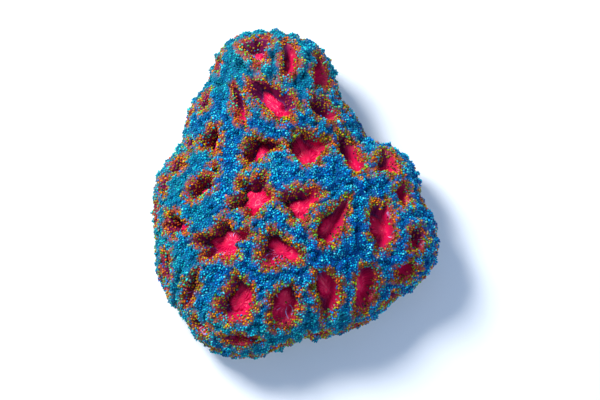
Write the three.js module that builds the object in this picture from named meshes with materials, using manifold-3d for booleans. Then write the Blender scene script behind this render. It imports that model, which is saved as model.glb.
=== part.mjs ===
// A fleshy, massive coral colony, cut flat where it grew on rock. It is one solid: rounded lobes that
// have run together into a mound with a knob at one end, with a deep pit pressed in for each polyp.
// Millimetres, +Z up. The origin is at the middle of the flat base; the knob points to +Y.

import * as THREE from 'three';
import { mergeVertices } from 'three/addons/utils/BufferGeometryUtils.js';
import Module from 'manifold-3d';

// Driving dimensions
const FLESH = 0.6; // the living flesh stands this far out from the lobes below
const BLEND = 8; // how far apart two lobes begin to run together
const PIT_DEPTH = 5; // a full-sized polyp's pit, below the wall round it
const WALL_RUN = 2.4; // the steep side of a pit takes this much of its width
const HEART = new THREE.Vector3(0, -2, 8); // every part of the surface can be seen from here
const FINENESS = 23; // how often each edge of the starting ball is divided
const SLAB = 40; // thickness of what is cut away below the base
const FAR = 60; // well outside the colony, where each walk towards its surface begins

// The lobes: where each is centred, and its half width, half length and half height.
const LOBES = [
  { name: 'main mound', at: [-2, -9, 8], reach: [27, 24, 22] },
  { name: 'knob', at: [-4.5, 28.5, 11], reach: [14, 11, 15] },
  { name: 'left of the knob', at: [-10.5, 30.5, 11], reach: [8.5, 8, 12.5] },
  { name: 'neck', at: [-4, 16, 9], reach: [16, 14, 18] },
  { name: 'left of the neck', at: [-17, 15, 8], reach: [10, 13, 12] },
  { name: 'right of the neck', at: [6, 13.5, 8], reach: [10.5, 9, 13] },
  { name: 'right shoulder', at: [19, 2, 9], reach: [11, 10, 13] },
  { name: 'right flank', at: [23, -12, 9], reach: [11.5, 12.5, 13] },
  { name: 'left flank', at: [-20.8, -2, 9], reach: [13.5, 15, 13] },
  { name: 'lower left flank', at: [-20.8, -16, 9], reach: [12.5, 14, 13] },
  { name: 'lower left', at: [-12.5, -27, 9], reach: [14, 13, 13] },
  { name: 'lower right', at: [3, -24, 9], reach: [19.5, 10.5, 13] },
].map((lobe) => ({ at: new THREE.Vector3(...lobe.at), reach: new THREE.Vector3(...lobe.reach) }));

// The polyps on the crown: x, y, length, width, the turn of the length from +X in degrees, how many
// points the outline has (2 for an oval), and how far it bends like a bean.
const CROWN = [
  // on the knob
  [-9.5, 33, 8.5, 6.5, -75, 3, 0],
  [-1.5, 30, 10.5, 4, 88, 2, 0.5],
  [6.5, 27.5, 8.5, 5.5, 95, 3, 0],
  // on the neck
  [7, 18, 9, 5.5, -10, 2, 0],
  [-5.5, 19.3, 14, 7, 141, 3, 0],
  [-13.5, 18.6, 11.5, 3.2, 112, 2, 0],
  [-22, 21.5, 6, 3.2, 95, 2, 0],
  [-20.5, 11, 6, 5.2, 60, 3, 0],
  [-25.5, 11, 3, 2.4, 60, 2, 0],
  // below the neck
  [-9, 6.8, 9, 5.8, 25, 3, -0.4],
  [3.2, 7.6, 10, 8, 24, 3, 0],
  [13.5, 7, 12, 5.2, 105, 2, 0],
  [22.5, 5.8, 8, 6.4, 80, 3, 0],
  [26, -2.5, 6, 4, 100, 2, 0],
  // on the left flank
  [-28.5, 5.2, 5, 4.2, 90, 2, 0],
  [-31.8, 0.6, 5, 3.8, 60, 2, 0],
  [-22.5, -1.3, 8, 5, 35, 2, 0],
  [-19, 3, 2.6, 2.4, 0, 2, 0],
  [-28.8, -9.8, 7.5, 5, -20, 3, 0],
  // across the middle
  [-10.3, -4.6, 10.5, 9.2, 60, 5, 0.2],
  [1.5, -6.5, 9.5, 7.6, 40, 3, 0],
  [9, -11.2, 13, 5.8, 57, 3, 0],
  [20.5, -10.5, 12, 6.2, 95, 2, 0],
  [29.5, -13.5, 6.4, 5, 95, 2, 0],
  [-17.5, -15.3, 12.5, 8, 15, 5, 0],
  [-4, -18, 10.5, 7.5, -15, 3, 0],
  // along the lower edge
  [26.5, -21, 6.4, 5, 35, 2, 0],
  [-25, -25.5, 11, 3.2, 55, 2, 0],
  [-31, -19, 8, 4, 75, 2, 0],
  [-14, -29, 11.5, 8, 62, 2, 0.4],
  [-2.5, -30.5, 12, 7, 85, 2, 0],
  [7.5, -27, 12.5, 6.2, 105, 2, 0.2],
  [17, -25.5, 12.5, 6.4, 97, 2, 0],
  [-22.5, -34, 6, 3.6, -35, 2, 0],
  [-13, -37.5, 9, 3.4, -5, 2, 0],
];

// The polyps round the flank, low down: bearing from +X in degrees, height, length and width.
const FLANK = [
  [0, 11, 7, 5],
  [15, 8.5, 5, 4],
  [36, 11, 7.5, 5.5],
  [52, 9, 5, 4],
  [64, 14, 7, 4.5],
  [72.5, 9.5, 6.5, 4.5],
  [81, 11, 5, 4],
  [90, 16, 7.5, 5],
  [101, 9.5, 6, 5],
  [112, 14.5, 6.5, 4.5],
  [120, 17.5, 4.5, 3.5],
  [127, 9, 6.5, 5],
  [141, 12, 5.5, 4.5],
  [155, 9, 6.5, 4.5],
  [170, 8.5, 5.5, 4.5],
  [186, 12, 7, 5],
  [199, 8.5, 5.5, 4],
  [213, 10.5, 6.5, 5],
  [227, 8.5, 6, 4.5],
  [240, 9, 5, 4],
  [252, 8, 6.5, 4.5],
  [264, 9.5, 7, 4.5],
  [280, 11, 6, 4],
  [296, 9, 7, 5],
  [313, 11, 5.5, 4.5],
  [329, 8.5, 7, 5],
  [344, 10.5, 5, 4.5],
];

// How far a point is outside one lobe, nearly in millimetres, and less than 0 inside it.
function outsideLobe(point, lobe) {
  const scaled = point.clone().sub(lobe.at).divide(lobe.reach);
  const share = scaled.length();
  return (share * (share - 1)) / scaled.divide(lobe.reach).length();
}

// The same for all the lobes run together.
function outsideLobes(point) {
  return LOBES.map((lobe) => outsideLobe(point, lobe)).reduce((nearest, next) => {
    const overlap = Math.max(BLEND - Math.abs(nearest - next), 0) / BLEND;
    return Math.min(nearest, next) - (overlap ** 3 * BLEND) / 6;
  });
}

// Steps from far off along a line until it meets the lobes.
function walkIn(from, step) {
  const point = from.clone();
  for (let count = 0; count < 60; count += 1) {
    const left = outsideLobes(point);
    if (left < 0.005) break;
    point.addScaledVector(step, left * 0.7);
  }
  return point;
}

// Which way is out, at a point on the lobes.
function outward(point) {
  const ways = [new THREE.Vector3(1, 0, 0), new THREE.Vector3(0, 1, 0), new THREE.Vector3(0, 0, 1)];
  const slopes = ways.map((way) => {
    const ahead = outsideLobes(point.clone().addScaledVector(way, 0.05));
    return ahead - outsideLobes(point.clone().addScaledVector(way, -0.05));
  });
  return new THREE.Vector3(...slopes).normalize();
}

// A pit lies in the plane that touches the lobes at its middle.
function makePit(middle, lengthWay, length, width, points, bend) {
  const up = outward(middle);
  const along = lengthWay.addScaledVector(up, -lengthWay.dot(up)).normalize();
  const across = up.clone().cross(along);
  const depth = PIT_DEPTH * Math.min(1, 0.25 + width / 7);
  return { middle, up, along, across, length, width, points, bend, depth };
}

function crownPit([x, y, length, width, turn, points, bend]) {
  const middle = walkIn(new THREE.Vector3(x, y, FAR), new THREE.Vector3(0, 0, -1));
  const angle = THREE.MathUtils.degToRad(turn);
  const lengthWay = new THREE.Vector3(Math.cos(angle), Math.sin(angle), 0);
  return makePit(middle, lengthWay, length, width, points, bend);
}

function flankPit([bearing, height, length, width]) {
  const angle = THREE.MathUtils.degToRad(bearing);
  const out = new THREE.Vector3(Math.cos(angle), Math.sin(angle), 0);
  const from = new THREE.Vector3(HEART.x, HEART.y, height).addScaledVector(out, FAR);
  const middle = walkIn(from, out.clone().negate());
  return makePit(middle, new THREE.Vector3(-out.y, out.x, 0), length, width, 2, 0);
}

const PITS = [...CROWN.map(crownPit), ...FLANK.map(flankPit)];

// How far one pit presses the surface in at a point: nothing outside its outline, all its depth on
// its floor, and a smooth steep side between.
function pressedBy(pit, point) {
  const from = point.clone().sub(pit.middle);
  if (from.length() > pit.length) return 0;
  const halfLength = pit.length / 2;
  const halfWidth = pit.width / 2;
  const u = from.dot(pit.along) / halfLength;
  const v = from.dot(pit.across) / halfWidth - pit.bend * (u * u - 0.4);
  const wave = pit.points > 2 ? 0.15 * Math.cos(pit.points * Math.atan2(v, u)) : 0;
  const share = Math.hypot(u, v) / (1 + wave);
  const run = Math.min(WALL_RUN / halfWidth, 0.8);
  return pit.depth * THREE.MathUtils.smoothstep(1 - share, 0, run);
}

// A ball of triangles whose corners are drawn in along their spokes until they meet the lobes. Then
// each moves out by the flesh, or in by the deepest pit that it lies in.
function colonySkin() {
  const ball = new THREE.IcosahedronGeometry(1, FINENESS);
  ball.deleteAttribute('normal');
  ball.deleteAttribute('uv');
  const skin = mergeVertices(ball, 1e-5);
  const corners = skin.getAttribute('position');
  for (let index = 0; index < corners.count; index += 1) {
    const spoke = new THREE.Vector3().fromBufferAttribute(corners, index).normalize();
    const point = walkIn(HEART.clone().addScaledVector(spoke, FAR), spoke.negate());
    const pressed = Math.max(...PITS.map((pit) => pressedBy(pit, point)));
    point.addScaledVector(outward(point), FLESH - pressed);
    corners.setXYZ(index, point.x, point.y, point.z);
  }
  return skin;
}

// The slab of rock that the colony is cut from: everything below the base.
function slabBelow() {
  const slab = new THREE.BoxGeometry(120, 120, SLAB);
  slab.deleteAttribute('normal');
  slab.deleteAttribute('uv');
  return mergeVertices(slab).translate(0, 0, -SLAB / 2);
}

const wasm = await Module();
wasm.setup();

function solidOf(geometry) {
  const vertProperties = new Float32Array(geometry.getAttribute('position').array);
  const triVerts = new Uint32Array(geometry.getIndex().array);
  return new wasm.Manifold(new wasm.Mesh({ numProp: 3, vertProperties, triVerts }));
}

function geometryOf(solid) {
  const { vertProperties, triVerts } = solid.getMesh();
  const geometry = new THREE.BufferGeometry();
  geometry.setAttribute('position', new THREE.BufferAttribute(vertProperties, 3));
  geometry.setIndex(new THREE.BufferAttribute(triVerts, 1));
  geometry.computeVertexNormals();
  return geometry;
}

function makeColony() {
  const solid = solidOf(colonySkin()).subtract(solidOf(slabBelow()));
  const flesh = new THREE.MeshStandardMaterial({ color: 0x1f8fa8, roughness: 0.35, metalness: 0 });
  const colony = new THREE.Mesh(geometryOf(solid), flesh);
  colony.name = 'coral_colony';
  return colony;
}

const part = new THREE.Group();
part.add(makeColony());
export default part;
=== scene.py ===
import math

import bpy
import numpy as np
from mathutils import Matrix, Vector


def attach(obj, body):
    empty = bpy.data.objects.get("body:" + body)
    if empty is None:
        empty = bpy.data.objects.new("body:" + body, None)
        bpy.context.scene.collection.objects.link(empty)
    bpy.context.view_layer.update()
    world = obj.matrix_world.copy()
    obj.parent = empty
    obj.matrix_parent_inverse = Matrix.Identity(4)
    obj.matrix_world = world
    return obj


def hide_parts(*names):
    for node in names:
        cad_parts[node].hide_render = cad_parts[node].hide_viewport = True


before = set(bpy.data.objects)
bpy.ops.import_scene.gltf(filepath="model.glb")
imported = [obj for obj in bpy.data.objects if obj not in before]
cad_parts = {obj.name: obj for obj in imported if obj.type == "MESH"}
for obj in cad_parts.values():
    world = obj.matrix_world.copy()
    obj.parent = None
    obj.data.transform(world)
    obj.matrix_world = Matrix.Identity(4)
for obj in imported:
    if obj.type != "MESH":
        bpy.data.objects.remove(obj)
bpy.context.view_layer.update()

# A fleshy, massive coral colony: red polyps in deep pits, with walls of teal and blue flesh between
# them, on a mound cut flat below. Shapes are worked out in millimetres, in the frame's axes, and
# turned to metres when each piece is made.

MM = 0.001
RNG = np.random.default_rng(11)

# ---------------------------------------------------------------- driving dimensions, millimetres
FLESH = -0.3  # the gaps between the ribs of flesh lie this far out from the lobes
BLEND = 8.0  # how far apart two lobes begin to run together
HEART = np.array([0.0, -2.0, 8.0])  # every part of the surface can be seen from here
FAR = 60.0  # well outside the colony
PIT_DEPTH = 4.6  # a full-sized polyp's pit, below the wall round it
WALL_RUN = 0.95  # the steep side of a pit reaches this far in from its outline
UNDER = 0.9  # inside a pit the walls' sheet runs this far under the polyp's
RIM_HEIGHT = 0.45  # the raised rim round each pit
RIM_OUT = 1.6  # the rim is highest this far outside the pit's outline
SEAM_DEPTH = 0.35  # the furrow halfway between two polyps
LUMP_HEIGHTS = (0.22, 0.25)  # the walls' wide and narrow lumps
LUMP_SIZES = (3.0, 1.4)
WIDE_SEED = 3  # each surface ripple has a seed of its own, so that the beads' light can follow the lumps
NARROW_SEED = 4
CREVICE_DEPTH = 1.5
TUCK_DEPTH = 1.2  # the flesh's hidden edges turn down this far
SKIRT_HEIGHT = 2.4  # the flesh ends about this far above the base
GRID = 150  # quads from the crown to the skirt
RIB_PITCH = 1.25  # from one rib of flesh to the next round a pit; about one in three is teal
PLEAT_PITCH = 0.75  # from one fine pleat to the next down a pit's side
FOLD_PITCH = 2.3  # from one fold to the next, where they run from the mouth across a pit's floor
BEAD_PITCH = 0.46  # between the beads that cover the walls
BEAD_RADIUS = 0.24
BEAD_LIFT = 0.26  # the beads inside a pit's outline sit this far above the walls' own level
RING_START = -1.0  # the beads begin this far inside a pit's outline
PIECE_LIMIT = 190_000  # triangles in one piece of beads

# The lobes: centre, and half width, half length and half height.
LOBES = {
    "main mound": ((-2, -9, 8), (27, 24, 22)),
    "knob": ((-4.5, 28.5, 11), (14, 11, 15)),
    "left of the knob": ((-10.5, 30.5, 11), (8.5, 8, 12.5)),
    "neck": ((-4, 16, 9), (16, 14, 18)),
    "left of the neck": ((-17, 15, 8), (10, 13, 12)),
    "right of the neck": ((6, 13.5, 8), (10.5, 9, 13)),
    "right shoulder": ((19, 2, 9), (11, 10, 13)),
    "right flank": ((23, -12, 9), (11.5, 12.5, 13)),
    "left flank": ((-20.8, -2, 9), (13.5, 15, 13)),
    "lower left flank": ((-20.8, -16, 9), (12.5, 14, 13)),
    "lower left": ((-12.5, -27, 9), (14, 13, 13)),
    "lower right": ((3, -24, 9), (19.5, 10.5, 13)),
}

# The polyps on the crown: x, y, length, width, the turn of the length from +X in degrees, how many
# points the outline has (2 for an oval), and how far it bends like a bean.
CROWN = [
    # on the knob
    (-9.5, 33, 8.5, 6.5, -75, 3, 0),
    (-1.5, 30, 10.5, 4, 88, 2, 0.5),
    (6.5, 27.5, 8.5, 5.5, 95, 3, 0),
    # on the neck
    (7, 18, 9, 5.5, -10, 2, 0),
    (-5.5, 19.3, 14, 7, 141, 3, 0),
    (-13.5, 18.6, 11.5, 3.2, 112, 2, 0),
    (-22, 21.5, 6, 3.2, 95, 2, 0),
    (-20.5, 11, 6, 5.2, 60, 3, 0),
    (-25.5, 11, 3, 2.4, 60, 2, 0),
    # below the neck
    (-9, 6.8, 9, 5.8, 25, 3, -0.4),
    (3.2, 7.6, 10, 8, 24, 3, 0),
    (13.5, 7, 12, 5.2, 105, 2, 0),
    (22.5, 5.8, 8, 6.4, 80, 3, 0),
    (26, -2.5, 6, 4, 100, 2, 0),
    # on the left flank
    (-28.5, 5.2, 5, 4.2, 90, 2, 0),
    (-31.8, 0.6, 5, 3.8, 60, 2, 0),
    (-22.5, -1.3, 8, 5, 35, 2, 0),
    (-19, 3, 2.6, 2.4, 0, 2, 0),
    (-28.8, -9.8, 7.5, 5, -20, 3, 0),
    # across the middle
    (-10.3, -4.6, 10.5, 9.2, 60, 5, 0.2),
    (1.5, -6.5, 9.5, 7.6, 40, 3, 0),
    (9, -11.2, 13, 5.8, 57, 3, 0),
    (20.5, -10.5, 12, 6.2, 95, 2, 0),
    (29.5, -13.5, 6.4, 5, 95, 2, 0),
    (-17.5, -15.3, 12.5, 8, 15, 5, 0),
    (-4, -18, 10.5, 7.5, -15, 3, 0),
    # along the lower edge
    (26.5, -21, 6.4, 5, 35, 2, 0),
    (-25, -25.5, 11, 3.2, 55, 2, 0),
    (-31, -19, 8, 4, 75, 2, 0),
    (-14, -29, 11.5, 8, 62, 2, 0.4),
    (-2.5, -30.5, 12, 7, 85, 2, 0),
    (7.5, -27, 12.5, 6.2, 105, 2, 0.2),
    (17, -25.5, 12.5, 6.4, 97, 2, 0),
    (-22.5, -34, 6, 3.6, -35, 2, 0),
    (-13, -37.5, 9, 3.4, -5, 2, 0),
]

# The polyps round the flank, low down: bearing from +X in degrees, height, length and width.
FLANK = [
    (0, 11, 7, 5),
    (15, 8.5, 5, 4),
    (36, 11, 7.5, 5.5),
    (52, 9, 5, 4),
    (64, 14, 7, 4.5),
    (72.5, 9.5, 6.5, 4.5),
    (81, 11, 5, 4),
    (90, 16, 7.5, 5),
    (101, 9.5, 6, 5),
    (112, 14.5, 6.5, 4.5),
    (120, 17.5, 4.5, 3.5),
    (127, 9, 6.5, 5),
    (141, 12, 5.5, 4.5),
    (155, 9, 6.5, 4.5),
    (170, 8.5, 5.5, 4.5),
    (186, 12, 7, 5),
    (199, 8.5, 5.5, 4),
    (213, 10.5, 6.5, 5),
    (227, 8.5, 6, 4.5),
    (240, 9, 5, 4),
    (252, 8, 6.5, 4.5),
    (264, 9.5, 7, 4.5),
    (280, 11, 6, 4),
    (296, 9, 7, 5),
    (313, 11, 5.5, 4.5),
    (329, 8.5, 7, 5),
    (344, 10.5, 5, 4.5),
]

# Hollows between the knob's bulges, sunk into the walls, with painted shade on the beads in them: x, y and
# how wide.
CREVICES = [(-5.4, 30.6, 1.1), (-13.6, 28.4, 1.3), (0.5, 24.2, 0.9)]


# ---------------------------------------------------------------- small sums
def lengths(vectors):
    return np.linalg.norm(vectors, axis=-1)


def smooth(low, high, values):
    """0 below low, 1 above high, and a soft step between."""
    share = np.clip((values - low) / (high - low), 0, 1)
    return share * share * (3 - 2 * share)


def bump(middle, reach, values):
    """1 at the middle, falling to nothing about a reach and a half away."""
    return np.exp(-(((values - middle) / reach) ** 2))


def ripples(points, size, seed, waves=7):
    """Rough ups and downs from about -1 to 1, about one size across."""
    rng = np.random.default_rng(seed)
    ways = rng.normal(size=(waves, 3))
    ways /= lengths(ways)[:, None]
    pitches = size * rng.uniform(0.7, 1.5, waves)
    starts = rng.uniform(0, math.tau, waves)
    total = sum(
        np.sin(points @ way * (math.tau / pitch) + start)
        for way, pitch, start in zip(ways, pitches, starts)
    )
    return total / math.sqrt(waves)


# ---------------------------------------------------------------- the lobes
def outside_lobes(points):
    """How far each point is outside the lobes run together, nearly, and less than 0 inside."""
    nearest = None
    for middle, reach in LOBES.values():
        scaled = (points - np.array(middle)) / np.array(reach)
        share = lengths(scaled)
        distance = share * (share - 1) / lengths(scaled / np.array(reach))
        if nearest is None:
            nearest = distance
            continue
        overlap = np.maximum(BLEND - np.abs(nearest - distance), 0) / BLEND
        nearest = np.minimum(nearest, distance) - overlap**3 * BLEND / 6
    return nearest


def walk_in(points, ways, steps=24):
    """Steps each point along its way until it meets the lobes."""
    points = np.array(points, float)
    for _ in range(steps):
        points += ways * (outside_lobes(points) * 0.75)[:, None]
    return points


def outward(points):
    """Which way is out, at points on the lobes."""
    slopes = np.stack(
        [outside_lobes(points + way) - outside_lobes(points - way) for way in np.eye(3) * 0.05],
        axis=-1,
    )
    return slopes / lengths(slopes)[:, None]


# ---------------------------------------------------------------- the pits
class Pit:
    """One polyp's pit. It lies in the plane that touches the lobes at its middle."""

    def __init__(self, middle, length_way, length, width, points, bend):
        self.middle = middle
        self.up = outward(middle[None])[0]
        along = length_way - self.up * (length_way @ self.up)
        self.along = along / lengths(along)
        self.across = np.cross(self.up, self.along)
        self.half = np.array([length, width]) / 2
        self.points = points
        self.bend = bend
        self.depth = PIT_DEPTH * min(1, 0.25 + width / 7)
        self.run = min(WALL_RUN / self.half[1], 0.5)
        # Each pit's steep, grooved side turns towards -X and +Y, where the key light stands; polyp_flesh
        # paints that side and its groove darker as painted shade.
        way = math.radians(135) + RNG.uniform(-0.6, 0.6)
        shaded = np.array([math.cos(way), math.sin(way), 0])
        self.groove_way = math.atan2(shaded @ self.across / self.half[1], shaded @ self.along / self.half[0])
        sideways = np.array([0.16, -0.16, 0]) + RNG.uniform(-0.1, 0.1, 3)
        self.shift = np.array([sideways @ self.along, sideways @ self.across])
        self.waves = [(count, *RNG.uniform((0.02, 0), (0.07, math.tau))) for count in (3, 4, 5, 8)]
        around = np.linspace(0, 1, 181)
        rim = self.outline(around * math.tau)
        steps = lengths(np.diff(rim, axis=0))
        self.girth = steps.sum()
        self.walked = np.concatenate([[0], np.cumsum(steps)]) / self.girth
        self.around = around
        self.ribs = max(6, round(self.girth / RIB_PITCH))
        self.teal = (np.arange(self.ribs) % 3 == 0) * RNG.uniform(0.6, 1.0, self.ribs)
        self.tone = RNG.uniform(-1, 1, self.ribs)
        self.tint = RNG.uniform(0, 1)

    def reach(self, angle, share):
        """How far out the outline runs at each angle, as a share of the oval. Its waves fade inward."""
        arms = 0.2 * np.cos(self.points * angle) if self.points > 2 else 0
        waves = arms + sum(tall * np.cos(count * angle + start) for count, tall, start in self.waves)
        return 1 + waves * smooth(0.25, 1, share)

    def outline(self, angle, share=1.0):
        """Points on the outline, or part of the way out to it, in the pit's own plane."""
        reach = self.reach(angle, share) * share
        u = reach * np.cos(angle) + (1 - share) * self.shift[0]
        v = reach * np.sin(angle) + (1 - share) * self.shift[1]
        v = v + self.bend * (u * u - 0.4)
        return np.stack([u, v], axis=-1) * self.half

    def place(self, points):
        """Where points are in this pit: share of the way out, millimetres outside, and the angle."""
        offset = points - self.middle
        u = offset @ self.along / self.half[0]
        v = offset @ self.across / self.half[1]
        v = v - self.bend * (u * u - 0.4)
        share = np.hypot(u, v)
        for _ in range(6):
            inside = np.clip(1 - share, 0, 1)
            near_u = u - inside * self.shift[0]
            near_v = v - inside * self.shift[1]
            angle = np.arctan2(near_v, near_u)
            share = np.hypot(near_u, near_v) / self.reach(angle, share)
        far = np.hypot(near_u * self.half[0], near_v * self.half[1])
        edge = far * (1 - 1 / np.maximum(share, 0.05))
        return share, edge, angle

    def turns(self, angle):
        """The share of the way round the outline, measured along it."""
        return np.interp(angle / math.tau % 1, self.around, self.walked)

    def grooved(self, share, angle):
        """1 towards the pit's steep side, 0 towards its gentle side, and one half at its middle."""
        return 0.5 + 0.5 * np.cos(angle - self.groove_way) * smooth(0, 0.5, share)

    def down_side(self, share, angle):
        """0 at the outline, 1 where the side meets the floor, and more over the floor."""
        return (1 - share) / (self.run * (1.9 - 1.1 * self.grooved(share, angle)))

    def sunk(self, share, angle):
        """How far below the wall the flesh lies: a steep side with a groove at its foot, a floor that
        rises gently across from it, and a small mouth with a lip round it."""
        steep = self.grooved(share, angle)
        down = self.down_side(share, angle)
        side = smooth(0, 1, down) * (0.74 + 0.26 * steep)
        cushion = smooth(1.0, 2.1, down) * 0.16 * steep
        dome = np.clip(1 - 1.6 * share**2, 0, 1) * 0.05
        size = min(1, self.half[1] / 3)
        mouth = (0.45 * bump(0, 0.05, share) - 0.22 * bump(0.12, 0.05, share)) * size
        return self.depth * (side - cushion - dome) + mouth


def crown_pit(x, y, length, width, turn, points, bend):
    middle = walk_in(np.array([[x, y, FAR]]), np.array([[0, 0, -1.0]]))[0]
    angle = math.radians(turn)
    length_way = np.array([math.cos(angle), math.sin(angle), 0])
    return Pit(middle, length_way, length, width, points, bend)


def flank_pit(bearing, height, length, width):
    angle = math.radians(bearing)
    out = np.array([math.cos(angle), math.sin(angle), 0])
    start = np.array([HEART[0], HEART[1], height]) + out * FAR
    middle = walk_in(start[None], -out[None])[0]
    return Pit(middle, np.array([-out[1], out[0], 0]), length, width, 2, 0)


def rib_pattern(pit, angle, edge):
    """How teal each point's rib is, how near its crest it lies from 0 to 1, and its own tone."""
    turns = pit.turns(angle) * pit.ribs + 0.22 * np.sin(edge * 1.7 + angle * 5)
    number = np.floor(turns).astype(int) % pit.ribs
    crest = np.sin(turns % 1 * math.pi) ** 0.7
    return pit.teal[number], crest, pit.tone[number]


def nearest_pits(points):
    """For each point, facts about the pit whose outline is nearest, and how far the next one is."""
    count = len(points)
    found = {
        "edge": np.full(count, 9.0),
        "next": np.full(count, 9.0),
        "teal": np.zeros(count),
        "crest": np.full(count, 0.5),
        "tone": np.zeros(count),
        "sunk": np.zeros(count),
        "under": np.zeros(count),
    }
    for pit in PITS:
        close = np.flatnonzero(lengths(points - pit.middle) < pit.half[0] + 9)
        share, edge, angle = pit.place(points[close])
        old = found["edge"][close]
        nearer = edge < old
        found["next"][close] = np.where(nearer, old, np.minimum(found["next"][close], edge))
        mine = close[nearer]
        found["edge"][mine] = edge[nearer]
        teal, crest, tone = rib_pattern(pit, angle[nearer], edge[nearer])
        found["teal"][mine] = teal
        found["crest"][mine] = crest
        found["tone"][mine] = tone
        within = share[nearer] < 1
        found["under"][mine] = within * UNDER * smooth(0.02, 0.25, 1 - share[nearer])
        found["sunk"][mine] = within * pit.sunk(share[nearer], angle[nearer])
    return found


# ---------------------------------------------------------------- the walls' surface
def wall_height(points, found):
    """How far the walls stand out from the lobes, without the pits."""
    edge = found["edge"]
    rim = RIM_HEIGHT * bump(RIM_OUT, 1.3, edge)
    seam = SEAM_DEPTH * bump(0, 0.9, found["next"] - edge) * smooth(1.0, 2.2, edge)
    ribbed = smooth(-1.2, 0.3, edge) * (1 - 0.5 * smooth(3.0, 4.5, edge))
    ribs = (0.55 * (found["crest"] - 0.6) + 0.4 * found["teal"] * found["crest"]) * ribbed
    bulging = 1 + 0.35 * greenness(points)
    wide = LUMP_HEIGHTS[0] * ripples(points, LUMP_SIZES[0], WIDE_SEED)
    narrow = LUMP_HEIGHTS[1] * ripples(points, LUMP_SIZES[1], NARROW_SEED)
    lumps = (wide + narrow) * bulging
    hollow = CREVICE_DEPTH * crevices(points)
    return FLESH + rim - seam + ribs + lumps * smooth(0, 1.5, edge) - hollow


def crevices(points):
    """1 at the middle of a hollow, falling to 0 round it. The beads there are darkened by it as painted
    shade.
    """
    near = [bump(0, wide, np.hypot(points[:, 0] - x, points[:, 1] - y)) for x, y, wide in CREVICES]
    return np.maximum.reduce(near) * (points[:, 2] > HEART[2])


def greenness(points):
    """The flesh is greener on the knob and along the left and lower edges."""
    left = smooth(-14, -32, points[:, 0])
    low = smooth(-24, -38, points[:, 1])
    knob = smooth(8, 33, points[:, 1])
    return np.clip(np.maximum.reduce([left, low, knob]) + 0.25 * ripples(points, 9, 5), 0, 1)


def square_to_cap(count):
    """A square grid of points laid evenly over a disc, as bearings and shares of the way out."""
    line = np.linspace(-1, 1, count + 1)
    a, b = np.meshgrid(line, line, indexing="ij")
    share = np.maximum(np.abs(a), np.abs(b))
    eighth = math.pi / 4
    from_x = np.divide(b, a, out=np.zeros_like(a), where=a != 0)
    from_y = np.divide(a, b, out=np.zeros_like(a), where=b != 0)
    along_x = eighth * from_x + np.where(a < 0, math.pi, 0)
    along_y = 2 * eighth * np.sign(b) - eighth * from_y
    bearing = np.where(np.abs(a) > np.abs(b), along_x, along_y)
    return bearing.ravel(), share.ravel()


def grid_faces(rows, columns):
    """Four-cornered faces over a grid of points, rows by columns."""
    index = np.arange(rows * columns).reshape(rows, columns)
    corners = (index[:-1, :-1], index[1:, :-1], index[1:, 1:], index[:-1, 1:])
    return np.stack(corners, axis=-1).reshape(-1, 4)


def ring_faces(first, rows, columns):
    """Four-cornered faces between closed rings of points, as a list. The points begin at first."""
    ring = np.arange(columns)
    after = (ring + 1) % columns
    starts = first + np.arange(rows - 1)[:, None] * columns
    corners = (starts + ring, starts + columns + ring, starts + columns + after, starts + after)
    return np.stack(corners, axis=-1).reshape(-1, 4).tolist()


def skirt_angles():
    """How far down from straight up the flesh's ragged lower edge is, seen from the heart, all round."""
    bearings = np.linspace(0, math.tau, 721)
    waves = ((0.5, 7, 1), (0.35, 17, 0), (0.25, 31, 2))
    ragged = sum(tall * np.sin(bearings * count + start) for tall, count, start in waves)
    low = np.full(len(bearings), math.pi * 0.4)
    high = np.full(len(bearings), math.pi * 0.75)
    for _ in range(16):
        middle = (low + high) / 2
        below = on_lobes(bearings, middle)[:, 2] < SKIRT_HEIGHT + ragged
        high = np.where(below, middle, high)
        low = np.where(below, low, middle)
    return bearings, (low + high) / 2


def on_lobes(bearings, tilts):
    """Points on the lobes, by bearing and by tilt from straight up, seen from the heart."""
    ways = np.stack(
        [
            np.sin(tilts) * np.cos(bearings),
            np.sin(tilts) * np.sin(bearings),
            np.cos(tilts),
        ],
        axis=-1,
    )
    return walk_in(HEART + ways * 45, -ways)


def make_piece(name, corners, faces, marks, material):
    """A mesh object from points in millimetres, with one number per point for each mark."""
    mesh = bpy.data.meshes.new(name)
    mesh.from_pydata((corners * MM).tolist(), [], list(faces), shade_flat=False)
    for mark, values in marks.items():
        attribute = mesh.attributes.new(mark, "FLOAT", "POINT")
        attribute.data.foreach_set("value", np.asarray(values, np.float32))
    mesh.materials.append(material)
    piece = bpy.data.objects.new(name, mesh)
    bpy.context.scene.collection.objects.link(piece)
    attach(piece, "root")
    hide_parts("coral_colony")
    return piece


def make_walls(material):
    """The sheet of flesh over the whole colony, with its pits. Returns what the beads need too."""
    bearings, shares = square_to_cap(2 * GRID)
    tilts = np.interp(bearings % math.tau, *skirt_angles()) * shares**0.9
    base = on_lobes(bearings, tilts)
    out = outward(base)
    found = nearest_pits(base)
    height = wall_height(base, found)
    tucked = smooth(0.965, 1.0, shares)
    height = height * (1 - tucked) - TUCK_DEPTH * tucked - found["sunk"] - found["under"]
    corners = base + out * height[:, None]
    marks = {
        "edge": found["edge"],
        "teal": found["teal"],
        "green": greenness(base),
        "pick": np.full(len(base), 0.1),
    }
    faces = grid_faces(2 * GRID + 1, 2 * GRID + 1)
    make_piece("wall_flesh", corners, faces.tolist(), marks, material)
    return {"base": base, "out": out, "corners": corners, "faces": faces, "found": found, "shares": shares}


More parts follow.
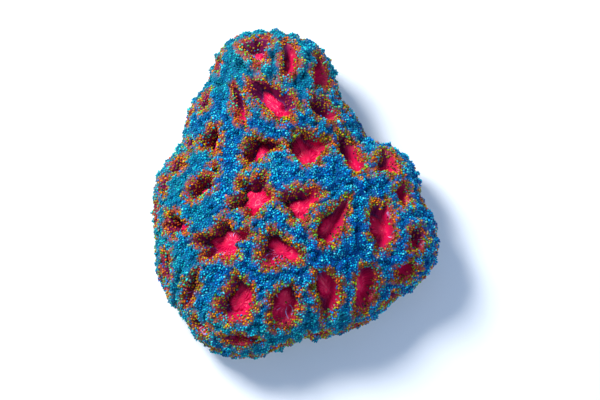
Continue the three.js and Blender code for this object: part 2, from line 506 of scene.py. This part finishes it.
# ---------------------------------------------------------------- the polyps
def polyp_height(pit, places, share, angle, pleat, spoke):
    """How far a polyp's flesh stands out from the lobes: its pit, with pleats and folds on it."""
    crease = 0.13 * pleat * smooth(0.45, 0.8, share) * (1 - 0.5 * smooth(0.85, 1, share))
    inner = smooth(0.15, 0.5, share) * (1 - smooth(0.75, 1, share))
    folds = (0.28 * ripples(places, 2.2, 9) + 0.08 * ripples(places, 0.9, 10) + 0.1 * spoke) * inner
    height = FLESH - pit.sunk(np.minimum(share, 1), angle) - TUCK_DEPTH * smooth(0.99, 1.12, share)
    return height + crease + folds + 0.25


def make_polyps(name, pits, material):
    """The red flesh of each pit: rings from the mouth out to just under the wall's edge."""
    corners, faces = [], []
    marks = {"share": [], "down": [], "steep": [], "pleat": [], "fold": [], "tint": []}
    total = 0
    for pit in pits:
        columns = 2 * round(pit.girth / PLEAT_PITCH * 2)
        rows = max(9, round(pit.half[1] * 2.2) + 9)
        shares = np.linspace(0, 1, rows) ** 0.85 * 1.12
        shares[0] = 0.02
        spokes = np.linspace(0, 1, columns, endpoint=False)
        angles = np.interp(spokes, pit.walked, pit.around) * math.tau
        share, angle = [grid.ravel() for grid in np.meshgrid(shares, angles, indexing="ij")]
        flat = pit.outline(angle, share)
        places = pit.middle + flat[:, :1] * pit.along + flat[:, 1:] * pit.across
        places = walk_in(places + pit.up * 3, -np.tile(pit.up, (len(places), 1)), 12)
        out = outward(places)
        turns = pit.turns(angle)
        pleat = np.cos(turns * round(pit.girth / PLEAT_PITCH) * math.tau + 0.6 * ripples(places, 2.5, 8))
        spoke = np.cos(turns * round(pit.girth / FOLD_PITCH) * math.tau + 2.6 * ripples(places, 3, 11))
        height = polyp_height(pit, places, share, angle, pleat, spoke)
        corners.append(places + out * height[:, None])
        faces += ring_faces(total, rows, columns)
        faces.append(list(range(total, total + columns)))
        marks["share"].append(share)
        marks["down"].append(pit.down_side(share, angle))
        # steep also masks the painted shade on each pit's side towards the key light.
        marks["steep"].append(pit.grooved(share, angle))
        marks["pleat"].append(pleat)
        marks["fold"].append(spoke)
        marks["tint"].append(np.full(len(share), pit.tint))
        total += len(share)
    marks = {mark: np.concatenate(values) for mark, values in marks.items()}
    return make_piece(name, np.concatenate(corners), faces, marks, material)


# ---------------------------------------------------------------- the beads
def spread_out(points, pitch, order):
    """Picks points in the given order, leaving out each that is nearer than pitch to one picked."""
    taken = {}
    picked = []
    cells = np.floor(points / pitch).astype(int)
    around = [(i, j, k) for i in (-1, 0, 1) for j in (-1, 0, 1) for k in (-1, 0, 1)]
    limit = pitch * pitch
    places = points.tolist()
    keys = cells.tolist()
    for index in order.tolist():
        x, y, z = places[index]
        a, b, c = keys[index]
        free = True
        for i, j, k in around:
            for other in taken.get((a + i, b + j, c + k), ()):
                p, q, r = places[other]
                if (x - p) ** 2 + (y - q) ** 2 + (z - r) ** 2 < limit:
                    free = False
                    break
            if not free:
                break
        if free:
            taken.setdefault((a, b, c), []).append(index)
            picked.append(index)
    return np.array(picked)


def bead_shape(sides=5):
    """A small closed drop: points on a unit ball, and its faces as triangles."""
    heights = (-0.35, 0.45)
    points = [(0, 0, -0.8)]
    for level, height in enumerate(heights):
        radius = math.sqrt(1 - height * height)
        turn = level * 0.5
        for side in range(sides):
            angle = math.tau * (side + turn) / sides
            points.append((radius * math.cos(angle), radius * math.sin(angle), height))
    points.append((0, 0, 1))
    top = len(points) - 1
    faces = []
    for side in range(sides):
        low, low_next = 1 + side, 1 + (side + 1) % sides
        high, high_next = low + sides, low_next + sides
        faces.append((0, low_next, low))
        faces.append((low, low_next, high))
        faces.append((low_next, high_next, high))
        faces.append((high, high_next, top))
    return np.array(points), np.array(faces)


def bead_seats(walls):
    """Where the beads sit: their middles, which way is out, and the sheet's point nearest to each."""
    found = walls["found"]
    grid = walls["faces"]
    lift = found["under"] + BEAD_LIFT * smooth(0.0, -0.4, found["edge"])
    corners = walls["corners"] + walls["out"] * lift[:, None]
    side_a = corners[grid[:, 2]] - corners[grid[:, 0]]
    side_b = corners[grid[:, 3]] - corners[grid[:, 1]]
    normals = np.cross(side_a, side_b)
    normals /= lengths(normals)[:, None]
    jitter = RNG.uniform(0, 1, (2, len(grid), 1))
    near_side = corners[grid[:, 0]] * (1 - jitter[0]) + corners[grid[:, 1]] * jitter[0]
    far_side = corners[grid[:, 3]] * (1 - jitter[0]) + corners[grid[:, 2]] * jitter[0]
    middles = near_side * (1 - jitter[1]) + far_side * jitter[1]
    first = grid[:, 0]
    ragged = 0.35 * ripples(walls["base"][first], 1.2, 12)
    allowed = (found["edge"][first] > RING_START + ragged) & (walls["shares"][first] < 0.972)
    chosen = np.flatnonzero(allowed)
    order = RNG.permutation(len(chosen))
    picked = chosen[spread_out(middles[chosen], BEAD_PITCH, order)]
    where = first[picked]
    normal = normals[picked]
    facing = np.sign((normal * walls["out"][where]).sum(axis=1))
    return middles[picked], normal * facing[:, None], where


def bead_points(middles, normal, edge, shape):
    """Every bead's points: the shape turned, stretched and leant a little on its seat."""
    count = len(middles)
    normal = normal + RNG.normal(0, 0.22, (count, 3))
    normal /= lengths(normal)[:, None]
    side = np.cross(normal, np.array([0.3, 0.2, 1.0]))
    side /= lengths(side)[:, None]
    other = np.cross(normal, side)
    spin = RNG.uniform(0, math.tau, count)[:, None]
    along = side * np.cos(spin) + other * np.sin(spin)
    across = np.cross(normal, along)
    larger = 1 + 0.08 * smooth(0.8, 0.0, edge)
    size = BEAD_RADIUS * RNG.uniform(0.65, 1.2, count) * larger
    stretch = RNG.uniform(1.0, 1.7, count)
    tall = RNG.uniform(0.9, 1.9, count)
    scaled_along = along * (size * stretch)[:, None]
    scaled_across = across * (size / np.sqrt(stretch))[:, None]
    scaled_up = normal * (size * tall)[:, None]
    return (
        middles[:, None]
        + shape[None, :, :1] * scaled_along[:, None]
        + shape[None, :, 1:2] * scaled_across[:, None]
        + (shape[None, :, 2:] + 0.05) * scaled_up[:, None]
    )


def bead_marks(walls, where):
    """One number per bead for each mark that the colours read."""
    found = walls["found"]
    base = walls["base"][where]
    edge = found["edge"][where]
    count = len(where)
    seam = bump(0, 0.7, found["next"][where] - edge)
    clump = ripples(base, LUMP_SIZES[1], NARROW_SEED) + 0.8 * ripples(base, LUMP_SIZES[0], WIDE_SEED)
    # The light mark is painted light and shade with a random tone: lighter on rib crests and lump tops,
    # darker in the seams between polyps and in the knob's hollows.
    light = 0.53 + 0.3 * (found["crest"][where] - 0.6) - 0.08 * seam + 0.2 * clump
    light = light + RNG.normal(0, 0.11, count) - 0.5 * crevices(base)
    pick = 0.48 + 0.12 * found["tone"][where] + 0.14 * ripples(base, 2.6, 14)
    return {
        "edge": edge + RNG.normal(0, 0.2, count),
        "teal": found["teal"][where],
        "green": greenness(base),
        "pick": np.clip(pick + RNG.normal(0, 0.24, count), 0, 1),
        "light": np.clip(light, 0, 1),
    }


def make_beads(walls, material):
    """Beads all over the walls, in joined pieces."""
    shape, shape_faces = bead_shape()
    middles, normal, where = bead_seats(walls)
    points = bead_points(middles, normal, walls["found"]["edge"][where], shape)
    values = bead_marks(walls, where)
    count = len(points)
    per_piece = PIECE_LIMIT // len(shape_faces)
    for number in range(math.ceil(count / per_piece)):
        part = slice(number * per_piece, min(count, (number + 1) * per_piece))
        group = points[part]
        offsets = np.arange(len(group))[:, None, None] * len(shape)
        faces = (shape_faces[None] + offsets).reshape(-1, 3)
        marks = {key: np.repeat(value[part], len(shape)) for key, value in values.items()}
        # tip runs from 0 at a bead's bottom to 1 at its top; it places each bead's painted shade and painted
        # highlight.
        marks["tip"] = np.tile(shape[:, 2] * 0.5 + 0.5, len(group))
        make_piece(f"wall_beads_{number + 1}", group.reshape(-1, 3), faces.tolist(), marks, material)


# ---------------------------------------------------------------- the bare skeleton below
def make_skeleton(material):
    """The dead edge below the flesh, and the flat cut that the colony rests on."""
    columns = 480
    bearings = np.linspace(0, math.tau, columns, endpoint=False)
    rows = []
    heights = np.array([4.5, 3.6, 3.0, 2.4, 1.8, 1.2, 0.6, 0.15, 0.0])
    insets = np.array([-0.9, -0.5, -0.2, 0.0, 0.0, 0.0, 0.0, -0.1, -0.3])
    for height, inset in zip(heights, insets):
        start = np.stack([np.cos(bearings), np.sin(bearings), np.zeros(columns)], axis=-1)
        points = walk_in(HEART * [1, 1, 0] + [0, 0, height] + start * FAR, -start)
        ribs = 0.18 * np.cos(bearings * 150) + 0.15 * ripples(points, 2, 21)
        rows.append(points + start * (inset + ribs * (height > 0.1))[:, None])
    rim = rows[-1]
    centre = rim.mean(axis=0)
    for share in np.linspace(0.97, 0.02, 40):
        rows.append(centre + (rim - centre) * share)
    faces = ring_faces(0, len(rows), columns)
    faces.append(list(range((len(rows) - 1) * columns, len(rows) * columns))[::-1])
    return make_piece("cut_skeleton", np.concatenate(rows), faces, {}, material)


# ---------------------------------------------------------------- materials
def new_material(name):
    material = bpy.data.materials.new(name)
    material.use_nodes = True
    nodes = material.node_tree.nodes
    return material, nodes, material.node_tree.links, nodes["Principled BSDF"]


def read_mark(nodes, mark):
    node = nodes.new("ShaderNodeAttribute")
    node.attribute_name = mark
    return node.outputs["Fac"]


def ramp(nodes, links, value, low, high, stops):
    """A run of colours over a mark's values from low to high."""
    to_share = nodes.new("ShaderNodeMapRange")
    to_share.inputs["From Min"].default_value = low
    to_share.inputs["From Max"].default_value = high
    links.new(value, to_share.inputs["Value"])
    colours = nodes.new("ShaderNodeValToRGB")
    elements = colours.color_ramp.elements
    for index, (place, colour) in enumerate(stops):
        share = (place - low) / (high - low)
        element = elements[index] if index < 2 else elements.new(share)
        element.position = share
        element.color = (*colour, 1)
    links.new(to_share.outputs["Result"], colours.inputs["Fac"])
    return colours.outputs["Color"]


def mix(nodes, links, share, first, second, blend="MIX"):
    node = nodes.new("ShaderNodeMix")
    node.data_type = "RGBA"
    node.blend_type = blend
    for socket, value in (("Factor", share), ("A", first), ("B", second)):
        target = [item for item in node.inputs if item.name == socket and item.enabled][0]
        if isinstance(value, (int, float)):
            target.default_value = value
        elif isinstance(value, tuple):
            target.default_value = (*value, 1)
        else:
            links.new(value, target)
    return [item for item in node.outputs if item.enabled][0]


def sums(nodes, links, operation, first, second=None, clamp=False):
    node = nodes.new("ShaderNodeMath")
    node.operation = operation
    node.use_clamp = clamp
    for index, value in enumerate((first, second)):
        if isinstance(value, (int, float)):
            node.inputs[index].default_value = value
        elif value is not None:
            links.new(value, node.inputs[index])
    return node.outputs["Value"]


def noise(nodes, links, size, detail=2.0, seed=0.0):
    """Noise of about this size in millimetres, in the colony's own frame."""
    place = nodes.new("ShaderNodeTexCoord")
    node = nodes.new("ShaderNodeTexNoise")
    node.noise_dimensions = "4D"
    node.inputs["W"].default_value = seed
    node.inputs["Scale"].default_value = 1 / (size * MM)
    node.inputs["Detail"].default_value = detail
    links.new(place.outputs["Object"], node.inputs["Vector"])
    return node.outputs["Fac"]


# Colours as light values: mostly what the flesh shows under even light, and some painted shade and painted
# highlight, as noted.
RED = (0.78, 0.004, 0.072)
HOT_RED = (0.95, 0.008, 0.065)
# Partly the pits' own dark red and partly painted shade on their sides towards the key light.
MAROON = (0.14, 0.006, 0.065)
# Painted shade at the bottom of each pit's steep side, in its groove.
GROOVE_SHADE = (0.04, 0.008, 0.07)
RUST = (0.3, 0.02, 0.012)
ORANGE = (0.72, 0.15, 0.0)
AMBER = (0.52, 0.3, 0.0)
LIME = (0.18, 0.46, 0.01)
NAVY = (0.0, 0.06, 0.26)
BLUE = (0.0, 0.17, 0.54)
TEAL = (0.0, 0.28, 0.44)
CYAN = (0.01, 0.52, 0.64)
PALE_CYAN = (0.1, 0.72, 0.74)
SEA_GREEN = (0.005, 0.4, 0.29)
# Painted shade for the gaps between the beads, blue away from the pits and red near them.
GAP_SHADE_BLUE = (0.0, 0.035, 0.15)
GAP_SHADE_RED = (0.11, 0.004, 0.03)
# Pale lavender for the painted wet glints along the polyps' folds.
PAINTED_GLINT = (0.42, 0.42, 0.85)


def wall_colour(nodes, links):
    """The walls' colours: a ring of mixed reds, oranges and greens round each pit, then mixed blues."""
    edge = read_mark(nodes, "edge")
    wobble = sums(nodes, links, "SUBTRACT", noise(nodes, links, 1.4, 3, 1), 0.5)
    edge = sums(nodes, links, "ADD", edge, sums(nodes, links, "MULTIPLY", wobble, 2.4))
    pick = read_mark(nodes, "pick")
    outward_pick = sums(nodes, links, "ADD", pick, sums(nodes, links, "MULTIPLY", edge, 0.12))
    ring = ramp(nodes, links, outward_pick, 0, 1, [
        (0, RUST), (0.24, ORANGE), (0.48, AMBER), (0.64, LIME), (0.8, SEA_GREEN), (0.92, BLUE),
    ])
    beyond = sums(nodes, links, "SUBTRACT", edge, 3.0)
    bluer = sums(nodes, links, "MULTIPLY", beyond, 0.03, clamp=True)
    flesh = ramp(nodes, links, sums(nodes, links, "SUBTRACT", pick, bluer), 0, 1, [
        (0, NAVY), (0.3, BLUE), (0.5, TEAL), (0.8, CYAN), (1, PALE_CYAN),
    ])
    green = sums(nodes, links, "MULTIPLY", read_mark(nodes, "green"), 0.55)
    flesh = mix(nodes, links, green, flesh, SEA_GREEN)
    starts = sums(nodes, links, "MULTIPLY", read_mark(nodes, "teal"), -1.8)
    starts = sums(nodes, links, "ADD", starts, 1.45)
    beyond_ring = sums(nodes, links, "SUBTRACT", edge, starts)
    outer = sums(nodes, links, "MULTIPLY", beyond_ring, 1.6, clamp=True)
    colour = mix(nodes, links, outer, ring, flesh)
    inner = sums(nodes, links, "MULTIPLY", sums(nodes, links, "ADD", edge, 0.7), -1.6, clamp=True)
    return mix(nodes, links, inner, colour, MAROON)


def wall_material():
    """The flesh between the beads, darkened with painted shade: dark red round the pits and dark blue beyond
    them.
    """
    material, nodes, links, shader = new_material("wall_flesh")
    # Painted shade in the gaps between beads: the walls' colours mixed most of the way to these dark
    # colours.
    gap_shade = ramp(nodes, links, read_mark(nodes, "edge"), -2, 4, [(0.3, GAP_SHADE_RED), (1.6, GAP_SHADE_BLUE)])
    colour = mix(nodes, links, 0.7, wall_colour(nodes, links), gap_shade)
    links.new(colour, shader.inputs["Base Color"])
    shader.inputs["Roughness"].default_value = 0.6
    shader.inputs["Specular IOR Level"].default_value = 0.08
    grain = nodes.new("ShaderNodeBump")
    grain.inputs["Strength"].default_value = 0.5
    grain.inputs["Distance"].default_value = 0.3 * MM
    links.new(noise(nodes, links, 0.5, 3, 2), grain.inputs["Height"])
    links.new(grain.outputs["Normal"], shader.inputs["Normal"])
    return material


def bead_material():
    """The beads: painted light and shade from the light mark, which also holds a random tone for each bead,
    with painted shade low on each bead and a painted highlight at its top.
    """
    material, nodes, links, shader = new_material("wall_beads")
    # Painted light and shade from the light mark, with a painted highlight above 0.75.
    painted_light_and_tone = ramp(nodes, links, read_mark(nodes, "light"), 0, 1, [
        (0, (0.12, 0.16, 0.24)), (0.45, (0.6, 0.64, 0.7)), (0.75, (1.0, 1.0, 1.0)), (1, (1.4, 1.35, 1.3)),
    ])
    # Painted shade low on each bead, where it meets the sheet, and a painted highlight at its top.
    foot = ramp(nodes, links, read_mark(nodes, "tip"), 0, 1, [
        (0, (0.12, 0.15, 0.25)), (0.35, (0.48, 0.52, 0.64)), (0.75, (1, 1, 1)), (1, (1.25, 1.25, 1.3)),
    ])
    colour = mix(nodes, links, 1.0, wall_colour(nodes, links), painted_light_and_tone, "MULTIPLY")
    colour = mix(nodes, links, 1.0, colour, foot, "MULTIPLY")
    links.new(colour, shader.inputs["Base Color"])
    shader.inputs["Roughness"].default_value = 0.45
    shader.inputs["Specular IOR Level"].default_value = 0.1
    shader.inputs["Specular Tint"].default_value = (0.4, 0.8, 1, 1)
    return material


def polyp_material():
    """Red flesh: vivid red on the floor and maroon with pleat stripes down the side. The maroon is partly
    the flesh's own colour and partly painted shade, deepest on each pit's side towards -X and +Y, and the
    groove holds painted shade; some folds carry painted glints.
    """
    material, nodes, links, shader = new_material("polyp_flesh")
    down = read_mark(nodes, "down")
    gentle = ramp(nodes, links, down, -1, 4, [
        (-1, RUST), (0.0, RUST), (0.35, (0.5, 0.006, 0.045)), (0.8, RED), (2.4, RED), (3.4, HOT_RED),
    ])
    # Painted shade: the ramp for the side towards the key light, maroon down the side and darkest in the
    # groove.
    steep = ramp(nodes, links, down, -1, 4, [
        (-1, RUST), (0.0, RUST), (0.25, MAROON), (0.75, MAROON), (0.98, GROOVE_SHADE),
        (1.3, (0.45, 0.004, 0.045)), (1.9, RED), (3.4, HOT_RED),
    ])
    # The steep mark sets where that painted shade falls: 1 on the side towards -X and +Y, 0 on the other.
    share = ramp(nodes, links, read_mark(nodes, "steep"), 0, 1, [(0.25, (0, 0, 0)), (0.65, (1, 1, 1))])
    colour = mix(nodes, links, share, gentle, steep)
    streak = sums(nodes, links, "MULTIPLY", read_mark(nodes, "pleat"), 0.5)
    streak = sums(nodes, links, "ADD", streak, 0.5)
    streak = sums(nodes, links, "MULTIPLY", streak, noise(nodes, links, 1.2, 3, 4), clamp=True)
    colour = mix(nodes, links, sums(nodes, links, "MULTIPLY", streak, 0.7), colour, MAROON)
    mouth = ramp(nodes, links, read_mark(nodes, "share"), 0, 1, [
        (0.03, (1, 1, 1)), (0.09, (0, 0, 0)),
    ])
    colour = mix(nodes, links, mouth, colour, (1.0, 0.03, 0.13))
    # Painted highlight: pale lavender glints laid along the fold crests of some polyps.
    colour = mix(nodes, links, painted_glints(nodes, links), colour, PAINTED_GLINT)
    links.new(colour, shader.inputs["Base Color"])
    shader.inputs["Roughness"].default_value = 0.42
    shader.inputs["Specular IOR Level"].default_value = 0.12
    shader.inputs["Coat Weight"].default_value = 0.14
    shader.inputs["Coat Roughness"].default_value = 0.25
    wet = nodes.new("ShaderNodeBump")
    wet.inputs["Strength"].default_value = 0.3
    wet.inputs["Distance"].default_value = 0.3 * MM
    links.new(noise(nodes, links, 0.9, 3, 5), wet.inputs["Height"])
    links.new(wet.outputs["Normal"], shader.inputs["Normal"])
    return material


def painted_glints(nodes, links):
    """Where painted wet glints lie: pale broken lines on the fold crests, on about four polyps in ten."""
    crest = ramp(nodes, links, read_mark(nodes, "fold"), -1, 1, [(0.7, (0, 0, 0)), (0.95, (1, 1, 1))])
    patch = ramp(nodes, links, noise(nodes, links, 4.5, 2, 8), 0, 1, [(0.56, (0, 0, 0)), (0.6, (1, 1, 1))])
    part_way = ramp(nodes, links, read_mark(nodes, "share"), 0, 1, [
        (0.3, (0, 0, 0)), (0.45, (1, 1, 1)), (0.8, (1, 1, 1)), (0.9, (0, 0, 0)),
    ])
    # Each pit's random tint number picks whether its polyp gets painted glints.
    chosen = ramp(nodes, links, read_mark(nodes, "tint"), 0, 1, [(0.6, (0, 0, 0)), (0.65, (1, 1, 1))])
    both = sums(nodes, links, "MULTIPLY", crest, patch)
    return sums(nodes, links, "MULTIPLY", both, sums(nodes, links, "MULTIPLY", part_way, chosen))


def skeleton_material():
    """Bare coral skeleton: cream, porous, with darker holes and stains."""
    material, nodes, links, shader = new_material("bare_skeleton")
    pores = ramp(nodes, links, noise(nodes, links, 0.9, 3, 6), 0, 1, [
        (0, (0.16, 0.13, 0.1)), (0.42, (0.3, 0.25, 0.19)), (0.52, (0.62, 0.56, 0.46)),
        (1, (0.75, 0.7, 0.6)),
    ])
    stain = ramp(nodes, links, noise(nodes, links, 9, 2, 7), 0, 1, [
        (0, (0.75, 0.68, 0.72)), (0.5, (1, 1, 1)), (1, (0.82, 0.9, 0.76)),
    ])
    links.new(mix(nodes, links, 1.0, pores, stain, "MULTIPLY"), shader.inputs["Base Color"])
    shader.inputs["Roughness"].default_value = 0.85
    holes = nodes.new("ShaderNodeBump")
    holes.inputs["Strength"].default_value = 0.8
    holes.inputs["Distance"].default_value = 0.4 * MM
    links.new(noise(nodes, links, 0.9, 3, 6), holes.inputs["Height"])
    links.new(holes.outputs["Normal"], shader.inputs["Normal"])
    return material


# ---------------------------------------------------------------- the studio
CAMERA_TILT = math.radians(13.1)  # from straight down
CAMERA_FAR = 499 * MM  # to the floor, along the line of sight
LENS_PER_WIDTH = 2000 / 600  # focal length over the picture's width
LOOK_AT = Vector((1.2 * MM, 0.7 * MM, 0))


def make_floor():
    mesh = bpy.data.meshes.new("floor")
    half = 1.5  # metres
    corners = [(-half, -half, 0), (half, -half, 0), (half, half, 0), (-half, half, 0)]
    mesh.from_pydata(corners, [], [(0, 1, 2, 3)])
    material, _, _, shader = new_material("floor")
    shader.inputs["Base Color"].default_value = (0.72, 0.74, 0.76, 1)
    shader.inputs["Roughness"].default_value = 0.8
    mesh.materials.append(material)
    floor = bpy.data.objects.new("floor", mesh)
    bpy.context.scene.collection.objects.link(floor)


def make_camera():
    data = bpy.data.cameras.new("camera")
    data.sensor_width = 36
    data.lens = 36 * LENS_PER_WIDTH
    data.clip_start = 0.01
    camera = bpy.data.objects.new("camera", data)
    away = Vector((0, -math.sin(CAMERA_TILT), math.cos(CAMERA_TILT)))
    camera.location = LOOK_AT + away * CAMERA_FAR
    camera.rotation_euler = (CAMERA_TILT, 0, 0)
    bpy.context.scene.collection.objects.link(camera)
    bpy.context.scene.camera = camera


def make_light(name, place, size, watts, colour):
    data = bpy.data.lights.new(name, "AREA")
    data.size = size
    data.energy = watts
    data.color = colour
    lamp = bpy.data.objects.new(name, data)
    lamp.location = place
    aim = Vector((0, 0, 0.01)) - Vector(place)
    lamp.rotation_euler = aim.to_track_quat("-Z", "Y").to_euler()
    bpy.context.scene.collection.objects.link(lamp)


def make_lights():
    make_light("key", (-0.35, 0.3, 0.5), 0.22, 7.6, (1, 0.99, 0.98))
    make_light("fill", (0.5, -0.4, 0.45), 0.5, 2.4, (0.7, 0.82, 1))
    world = bpy.data.worlds.new("studio")
    world.use_nodes = True
    background = world.node_tree.nodes["Background"]
    background.inputs["Color"].default_value = (0.5, 0.68, 1, 1)
    background.inputs["Strength"].default_value = 0.6
    bpy.context.scene.world = world
    bpy.context.scene.view_settings.view_transform = "Standard"


make_camera()
make_floor()
make_lights()
PITS = [crown_pit(*row) for row in CROWN] + [flank_pit(*row) for row in FLANK]
walls = make_walls(wall_material())
polyp_flesh = polyp_material()
make_polyps("crown_polyps", PITS[: len(CROWN)], polyp_flesh)
make_polyps("flank_polyps", PITS[len(CROWN) :], polyp_flesh)
make_beads(walls, bead_material())
make_skeleton(skeleton_material())
